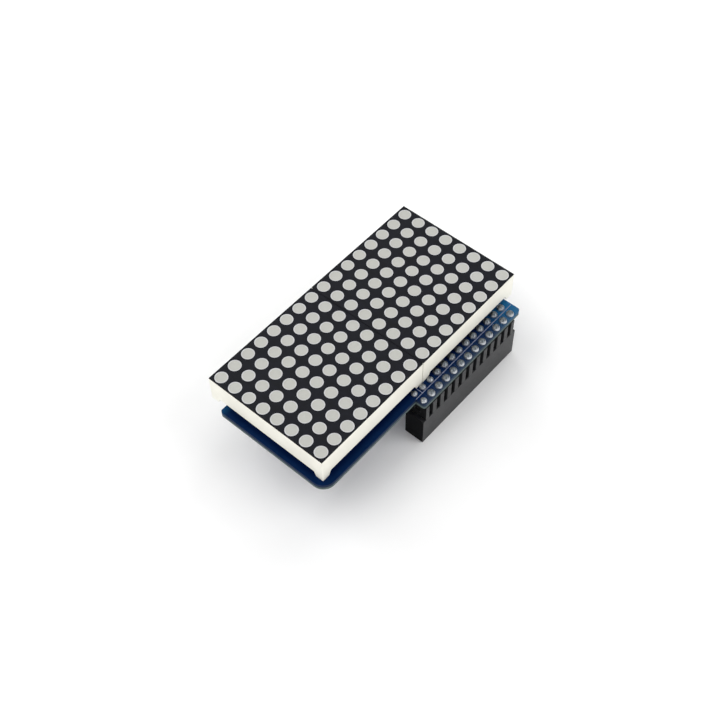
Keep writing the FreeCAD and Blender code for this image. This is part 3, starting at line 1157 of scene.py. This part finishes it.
# %% Solder cones round the module pins
CONE_RADIUS = 0.85 * MM
CONE_HEIGHT = 0.95 * MM
CONE_SIDES = 24
PINS_PER_ROW = 8
HALF_PIN = 0.25 * MM
cone_profile = [
    (0, 0.0), (1.0, 0.0), (0.93, -0.05), (0.78, -0.16), (0.64, -0.35),
    (0.54, -0.6), (0.46, -0.85), (0.4, -1.0), (0, -1.0),
]
cone = turned("cone", cone_profile, CONE_SIDES, solder, CONE_RADIUS, CONE_HEIGHT)
pin_columns = centred(PINS_PER_ROW, SOCKET_PITCH)
pin_boxes = {name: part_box(name + "_module_pins") for name in MODULES}
pin_places = []
for name, (pin_low, pin_high) in pin_boxes.items():
    for x in pin_columns:
        for y in (pin_low.y + HALF_PIN, pin_high.y - HALF_PIN):
            pin_places.append(((module_centres[name].x + x, y, board_low.z), 1.0))
keep(scatter("module_pin_solder", cone, pin_places, solder, stretch=0.05, turn=math.pi, seed=11))

# %% [markdown]
# ## Printed legend
#
# One thin white line runs along the tab between the two rows of joints, and a short branch marks
# the first contact. Ink is a flat layer, so a prism of a few hundredths of a millimetre is
# enough. Letters and numbers are left off.

# %% Legend on the tab
LEGEND_THICKNESS = 0.02 * MM
LEGEND_WIDTH = 0.145 * MM
LEGEND_X = -0.15 * MM
LEGEND_NEAR = -16.03 * MM
LEGEND_FAR = 17.6 * MM
BRANCH_Y = -13.87 * MM
half = LEGEND_WIDTH / 2
line_left, line_right = LEGEND_X - half, LEGEND_X + half
branch_end = module_right + FOOT_GAP
legend = bmesh.new()
prism(
    legend,
    [
        (line_right, LEGEND_NEAR),
        (line_right, LEGEND_FAR),
        (line_left, LEGEND_FAR),
        (line_left, BRANCH_Y + half),
        (branch_end, BRANCH_Y + half),
        (branch_end, BRANCH_Y - half),
        (line_left, BRANCH_Y - half),
        (line_left, LEGEND_NEAR),
    ],
    board_high.z,
    board_high.z + LEGEND_THICKNESS,
)
keep(finish_mesh("tab_legend", legend, legend_ink))

# %% [markdown]
# ## The driver chip
#
# A moulded chip is drawn out of its mould, so its sides lean in above and below the parting
# line. It also has a round dimple that marks its first lead. The body is a stack of three
# rectangles, and a Boolean cuts the dimple.

# %% Driver chip body
DRAFT = 0.12 * MM
chip_low, chip_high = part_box("driver_chip_body")
parting = (chip_low.z + chip_high.z) / 2
chip = bmesh.new()
rings = []
for inset, level in ((DRAFT, chip_low.z), (0, parting), (DRAFT, chip_high.z)):
    corners = rectangle(
        chip_low.x + inset, chip_high.x - inset, chip_low.y + inset, chip_high.y - inset
    )
    rings.append(ring(chip, corners, level))
bands(chip, rings)
chip.faces.new(rings[0])
chip.faces.new(rings[-1])
bmesh.ops.recalc_face_normals(chip, faces=chip.faces)
round_edges(chip, SMALL_ROUNDING)
chip_body = finish_mesh("driver_chip_moulding", chip, chip_compound)

# %% Dimple at the first lead
DIMPLE_RADIUS = 0.6 * MM
DIMPLE_SIDES = 32
DIMPLE_INSET = 1.6 * MM
DIMPLE_TOP = 0.1 * MM
DIMPLE_BOTTOM = -0.05 * MM
dimple_profile = [
    (0, DIMPLE_TOP),
    (0.8 * DIMPLE_RADIUS, DIMPLE_TOP),
    (DIMPLE_RADIUS, DIMPLE_BOTTOM),
    (0, DIMPLE_BOTTOM),
]
cutter = turned("dimple_cutter", dimple_profile, DIMPLE_SIDES, chip_compound)
cutter.data.transform(
    Matrix.Translation((chip_low.x + DIMPLE_INSET, chip_low.y + DIMPLE_INSET, chip_low.z))
)
cut = chip_body.modifiers.new("dimple", "BOOLEAN")
cut.operation = "DIFFERENCE"
cut.object = cutter
cut.solver = "EXACT"
settle(chip_body)
bpy.data.objects.remove(cutter)
keep(flatten_sides(chip_body), "driver_chip_body")

# %% [markdown]
# ## Copper under the lacquer
#
# Tracks are etched copper strips that bend at 45 degrees. Under the lacquer they show as
# slightly raised, brighter lines. The helper offsets a line of points to both sides and pulls
# the outline down by the thickness of the copper. Small rings are vias, the plated holes where a
# track changes sides.

# %% Track helper
TRACK_WIDTH = 0.3 * MM
COPPER = 0.035 * MM
MITRE_LIMIT = 0.5
copper_top = board_low.z
copper_bottom = board_low.z - COPPER
tracks = bmesh.new()
vias = []


def track(points):
    """Adds a flat strip of constant width along a line of (x, y) points."""
    left, right = [], []
    for k, (x, y) in enumerate(points):
        before = Vector(points[k]) - Vector(points[k - 1]) if k else None
        after = Vector(points[k + 1]) - Vector(points[k]) if k + 1 < len(points) else None
        first = (before or after).normalized()
        second = (after or before).normalized()
        side = Vector((-first.y - second.y, first.x + second.x)).normalized()
        reach = TRACK_WIDTH / 2 / max(MITRE_LIMIT, side.dot(Vector((-first.y, first.x))))
        left.append((x + side.x * reach, y + side.y * reach))
        right.append((x - side.x * reach, y - side.y * reach))
    prism(tracks, right + left[::-1], copper_bottom, copper_top)


def via(x, y):
    """Notes a place for a plated hole."""
    vias.append(((x, y, board_low.z), 1.0))


# %% Tracks from the chip to the module pins
LEAD_PITCH = 1.27 * MM
LEADS_PER_SIDE = 14
MIDDLE_LEADS = slice(3, 11)
LEAD_GAP = 0.2 * MM
STUB = 0.6 * MM
VIA_STAGGER = 0.7 * MM
near_middle = module_centres["near"]
lead_low, lead_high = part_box("driver_chip_leads")
near_pins_low, near_pins_high = pin_boxes["near"]
far_pins_low, far_pins_high = pin_boxes["far"]
lead_columns = centred(LEADS_PER_SIDE, LEAD_PITCH)
start_y = lead_low.y - LEAD_GAP
bend_y = start_y - STUB
for lead_x, pin_x in zip(lead_columns[MIDDLE_LEADS], pin_columns):
    start = near_middle.x + lead_x
    end = near_middle.x + pin_x
    drop = abs(end - start)
    track([(start, start_y), (start, bend_y), (end, bend_y - drop), (end, near_pins_low.y)])
start_y = lead_high.y + LEAD_GAP
for k, lead_x in enumerate(lead_columns):
    x = near_middle.x + lead_x
    via_y = start_y + STUB + VIA_STAGGER * (k % 2)
    track([(x, start_y), (x, via_y)])
    via(x, via_y)

# %% Tracks between the modules, and from the chip to the socket
JOG = 1.27 * MM
PIN_CLEARANCE = 2.2 * MM
BUS_LINES = 5
BUS_PITCH = 0.65 * MM
BUS_STEP = 1.4 * MM
BUS_X = -7.6 * MM
BUS_SOCKET_Y = -13.6 * MM
BUS_END_GAP = 0.15 * MM
middle_y = module_centres["far"].y
end_y = far_pins_high.y - PIN_CLEARANCE
for pin_x in pin_columns:
    x = near_middle.x + pin_x
    track([(x, near_pins_high.y), (x, far_pins_low.y)])
    bends = [(x, middle_y - JOG / 2), (x - JOG, middle_y + JOG / 2)]
    track([(x, far_pins_low.y), *bends, (x - JOG, end_y)])
    via(x - JOG, end_y)
bus_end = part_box("header_spacer")[0].x - BUS_END_GAP
for k in range(BUS_LINES):
    x = BUS_X + k * BUS_PITCH
    start_y = near_middle.y + (2 - k) * BUS_STEP
    turn_y = BUS_SOCKET_Y + (BUS_LINES - 1 - k) * SOCKET_PITCH
    track([(x, start_y), (x, turn_y - (bus_end - x)), (bus_end, turn_y)])
    via(x, start_y)
keep(finish_mesh("underside_tracks", tracks, covered_copper))

# %% Vias
VIA_SIDES = 20
via_profile = [(0, 0.0), (0.33, 0.0), (0.33, -0.04), (0.17, -0.05), (0.13, -0.01), (0, -0.01)]
via_ring = turned("via", via_profile, VIA_SIDES, covered_copper, MM, MM)
keep(scatter("underside_vias", via_ring, vias, covered_copper))

# %% [markdown]
# ## Pads and lead solder
#
# Each lead of the chip stands on a tinned pad, and a little solder fills the corner at its toe.
# The small components have a pad under each end cap.

# %% Pads
PAD_LENGTH = 1.5 * MM
PAD_WIDTH = 0.6 * MM
PAD_REACH = 0.35 * MM
CAP_PAD_START = 0.3 * MM
CAP_PAD_END = 0.7 * MM
CAP_PAD_MARGIN = 0.1 * MM
CAP_STEP = 1.6 * MM
COMPONENT_PITCH = 4.0 * MM
# How far each end cap is from the first one: both of one component, then both of the next.
CAP_STEPS = (0.0, CAP_STEP, COMPONENT_PITCH, COMPONENT_PITCH + CAP_STEP)
pads = bmesh.new()
toes = []
half = PAD_WIDTH / 2
for lead_x in lead_columns:
    x = near_middle.x + lead_x
    for side, edge_y in ((-1, lead_low.y), (1, lead_high.y)):
        outer_y = edge_y + side * PAD_REACH
        low_y, high_y = sorted((outer_y, outer_y - side * PAD_LENGTH))
        prism(pads, rectangle(x - half, x + half, low_y, high_y), copper_bottom, copper_top)
        toes.append(((x, edge_y, copper_bottom), 1.0))
for body_name, count in (("capacitor_end_caps", 4), ("resistor_end_caps", 2)):
    cap_low, cap_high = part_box(body_name)
    low_y, high_y = cap_low.y - CAP_PAD_MARGIN, cap_high.y + CAP_PAD_MARGIN
    for step in CAP_STEPS[:count]:
        x = cap_low.x + step
        pad = rectangle(x - CAP_PAD_START, x + CAP_PAD_END, low_y, high_y)
        prism(pads, pad, copper_bottom, copper_top)
keep(finish_mesh("underside_pads", pads, solder))

# %% Solder at the leads' toes
TOE_SIDES = 16
toe_profile = [(0, 0.0), (0.3, 0.0), (0.27, -0.05), (0.2, -0.11), (0.1, -0.15), (0, -0.16)]
toe = turned("toe", toe_profile, TOE_SIDES, solder, MM, MM)
keep(scatter("lead_toe_solder", toe, toes, solder, stretch=0.08, turn=math.pi, seed=3))

# %% [markdown]
# ## Legend under the board
#
# The underside carries the usual outlines: one frame round the chip, and one round each of the
# three small components.

# %% Underside legend
FRAME_THICKNESS = 0.05 * MM
FRAME_HALF_WIDTH = 0.09 * MM
FRAME_MARGIN = 0.4 * MM
LEAD_MARGIN = 1.0 * MM
COMPONENTS = 3
COMPONENT_START = 0.55 * MM
COMPONENT_END = 2.55 * MM
legend = bmesh.new()


def frame_lines(x_low, x_high, y_low, y_high):
    """Adds a rectangle of legend lines."""
    loops = []
    for grow in (FRAME_HALF_WIDTH, -FRAME_HALF_WIDTH):
        corners = rectangle(x_low - grow, x_high + grow, y_low - grow, y_high + grow)
        for level in (board_low.z - FRAME_THICKNESS, board_low.z):
            loops.append(ring(legend, corners, level))
    outer_low, outer_high, inner_low, inner_high = loops
    bands(legend, (outer_low, outer_high, inner_high, inner_low, outer_low))


frame_lines(
    chip_low.x - FRAME_MARGIN,
    chip_high.x + FRAME_MARGIN,
    lead_low.y - LEAD_MARGIN,
    lead_high.y + LEAD_MARGIN,
)
cap_low, cap_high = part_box("capacitor_end_caps")
for k in range(COMPONENTS):
    x = cap_low.x + k * COMPONENT_PITCH
    frame_lines(
        x - COMPONENT_START, x + COMPONENT_END, cap_low.y - FRAME_MARGIN, cap_high.y + FRAME_MARGIN
    )
keep(finish_mesh("underside_legend", legend, legend_ink))

# %% [markdown]
# ## The floor
#
# A wide sheet of white paper. It is part of the studio and not of the object.

# %% Floor
FLOOR_SIZE = 3.0
FLOOR_GAP = 0.02 * MM
half = FLOOR_SIZE / 2
paper = bmesh.new()
paper.faces.new(ring(paper, rectangle(-half, half, -half, half), -FLOOR_GAP))
floor = finish_mesh("studio_floor", paper, floor_paper)
floor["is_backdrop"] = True

# %% Sizes, and the end
visual_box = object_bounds()
sizes = {
    "cad": [list(corner) for corner in cad_box],
    "visual": [list(corner) for corner in visual_box],
}
for label, box in sizes.items():
    print(label, "box", [[round(v / MM, 2) for v in corner] for corner in box])
